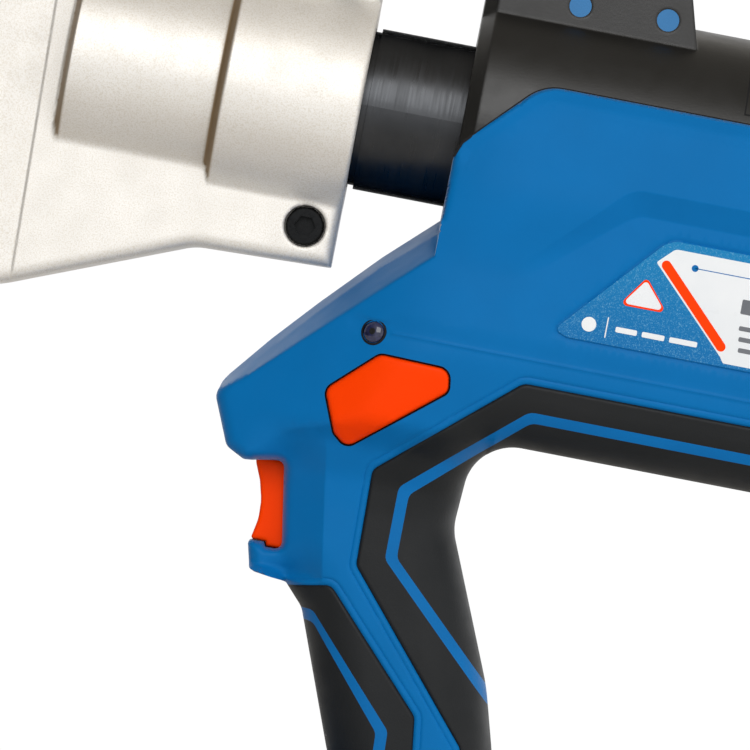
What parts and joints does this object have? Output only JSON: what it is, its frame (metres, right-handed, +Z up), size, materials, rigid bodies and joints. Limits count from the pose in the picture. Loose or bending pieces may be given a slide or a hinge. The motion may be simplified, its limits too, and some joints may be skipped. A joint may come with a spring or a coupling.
{
  "type": "cordless hydraulic crimping tool",
  "caption": "Pistol-grip hydraulic crimping tool with a swivelling open C-head, ram and hexagonal dies, barrel with hanging eye, trigger, release button and slide-on battery.",
  "frame": {"origin": "middle of the battery's flat underside, on which the tool stands", "axes": "+X forward along the ram towards the jaws, +Y to the tool's left, +Z up"},
  "size_m": [0.409, 0.078, 0.336],
  "materials": {
    "cast_nickel": "sand-textured nickel plate",
    "blued_steel": "blued, turned",
    "bright_steel": "ground",
    "hard_chrome": "polished",
    "pump_aluminium": "machined",
    "cell_can": "sleeved cells",
    "bronze": "machined",
    "motor_iron": "satin",
    "blue_plastic": "fine textured moulding",
    "black_plastic": "fine textured moulding",
    "orange_plastic": "satin",
    "grip_rubber": "soft overmould",
    "seal_rubber": "satin",
    "lens": "clear tinted",
    "label_film": "printed film",
    "board": "laminate"
  },
  "bodies": {
    "tool": {"barrel_cover": "black_plastic", "control_board": "board", "crank_bearing": "bright_steel", "eye_pins": "bright_steel", "gearbox_case": "pump_aluminium", "grip_rubber_front": "grip_rubber", "grip_rubber_rear": "grip_rubber", "hanger_eye": "bright_steel", "housing_left": "blue_plastic", "housing_right": "blue_plastic", "housing_screws": "blued_steel", "indicator_led": "lens", "motor_can": "motor_iron", "motor_end_bell": "black_plastic", "motor_magnets": "motor_iron", "oil_reservoir": "seal_rubber", "pump_body": "pump_aluminium", "pump_plugs": "bright_steel", "pump_plunger": "bright_steel", "rear_cap": "black_plastic", "release_spring": "bright_steel", "ring_gear": "bright_steel", "saddle_plugs": "blue_plastic", "side_labels": "label_film", "swivel_bush": "bronze", "terminal_block": "black_plastic", "trigger_spring": "bright_steel", "trigger_switch": "black_plastic", "work_light": "lens"},
    "head": {"head_frame": "cast_nickel", "clamp_screws": "blued_steel", "coupling_sleeve": "blued_steel", "sleeve_orings": "seal_rubber", "retaining_ring": "bright_steel", "rod_guide_ring": "bronze", "rod_wiper": "seal_rubber", "fixed_die": "blued_steel", "return_spring": "bright_steel"},
    "ram": {"ram_piston": "hard_chrome", "piston_seal": "seal_rubber", "ram_head": "blued_steel", "moving_die": "blued_steel"},
    "frame_button": {"frame_die_button": "bright_steel"},
    "ram_button": {"ram_die_button": "bright_steel"},
    "trigger": {"trigger": "orange_plastic"},
    "release": {"release_button": "orange_plastic"},
    "battery": {"battery_case_lower": "black_plastic", "battery_case_upper": "black_plastic", "battery_cells": "cell_can", "battery_contacts": "bronze"},
    "latch_left": {"battery_latch_left": "orange_plastic"},
    "latch_right": {"battery_latch_right": "orange_plastic"},
    "rotor": {"motor_rotor": "motor_iron"},
    "crank": {"planet_carrier": "bright_steel", "crank_shaft": "bright_steel", "crank_ring": "bright_steel"},
    "planet_1": {"planet_1": "bright_steel"},
    "planet_2": {"planet_2": "bright_steel"},
    "planet_3": {"planet_3": "bright_steel"}
  },
  "joints": [
    {"name": "head_swivel", "type": "hinge", "parent": "tool", "child": "head", "pos_m": [0.012, 0, 0.262], "axis": [1, 0, 0], "continuous": true},
    {"name": "ram_slide", "type": "slide", "parent": "head", "child": "ram", "axis": [1, 0, 0], "range_m": [0, 0.032], "stiffness_N_per_m": 3000, "springref_m": -0.012, "deforming": ["return_spring"]},
    {"name": "frame_button_press", "type": "slide", "parent": "head", "child": "frame_button", "axis": [0, -1, 0], "range_m": [0, 0.0025], "stiffness_N_per_m": 800, "springref_m": -0.001},
    {"name": "ram_button_press", "type": "slide", "parent": "ram", "child": "ram_button", "axis": [0, -1, 0], "range_m": [0, 0.0012], "stiffness_N_per_m": 800, "springref_m": -0.001},
    {"name": "trigger_pull", "type": "slide", "parent": "tool", "child": "trigger", "axis": [-1, 0, 0], "range_m": [0, 0.006], "stiffness_N_per_m": 1200, "springref_m": -0.002, "deforming": ["trigger_spring"]},
    {"name": "release_press", "type": "slide", "parent": "tool", "child": "release", "axis": [0, -1, 0], "range_m": [0, 0.003], "stiffness_N_per_m": 1200, "springref_m": -0.001, "deforming": ["release_spring"]},
    {"name": "battery_slide", "type": "slide", "parent": "tool", "child": "battery", "axis": [1, 0, 0], "range_m": [0, 0.11]},
    {"name": "latch_left_press", "type": "slide", "parent": "battery", "child": "latch_left", "axis": [0, -1, 0], "range_m": [0, 0.0015], "stiffness_N_per_m": 1000, "springref_m": -0.001},
    {"name": "latch_right_press", "type": "slide", "parent": "battery", "child": "latch_right", "axis": [0, 1, 0], "range_m": [0, 0.0015], "stiffness_N_per_m": 1000, "springref_m": -0.001},
    {"name": "crank_spin", "type": "hinge", "parent": "tool", "child": "crank", "pos_m": [0.012, 0, 0.262], "axis": [1, 0, 0], "continuous": true},
    {"name": "motor_spin", "type": "hinge", "parent": "tool", "child": "rotor", "pos_m": [0.012, 0, 0.262], "axis": [1, 0, 0], "continuous": true},
    {"name": "planet_1_spin", "type": "hinge", "parent": "crank", "child": "planet_1", "pos_m": [-0.093, 0, 0.27325], "axis": [1, 0, 0], "continuous": true},
    {"name": "planet_2_spin", "type": "hinge", "parent": "crank", "child": "planet_2", "pos_m": [-0.093, -0.00974, 0.25638], "axis": [1, 0, 0], "continuous": true},
    {"name": "planet_3_spin", "type": "hinge", "parent": "crank", "child": "planet_3", "pos_m": [-0.093, 0.00974, 0.25638], "axis": [1, 0, 0], "continuous": true}
  ],
  "couplings": [
    {"joint": "crank_spin", "follows": "motor_spin", "ratio": 0.2},
    {"joint": "planet_1_spin", "follows": "motor_spin", "ratio": -0.53333},
    {"joint": "planet_2_spin", "follows": "motor_spin", "ratio": -0.53333},
    {"joint": "planet_3_spin", "follows": "motor_spin", "ratio": -0.53333}
  ]
}
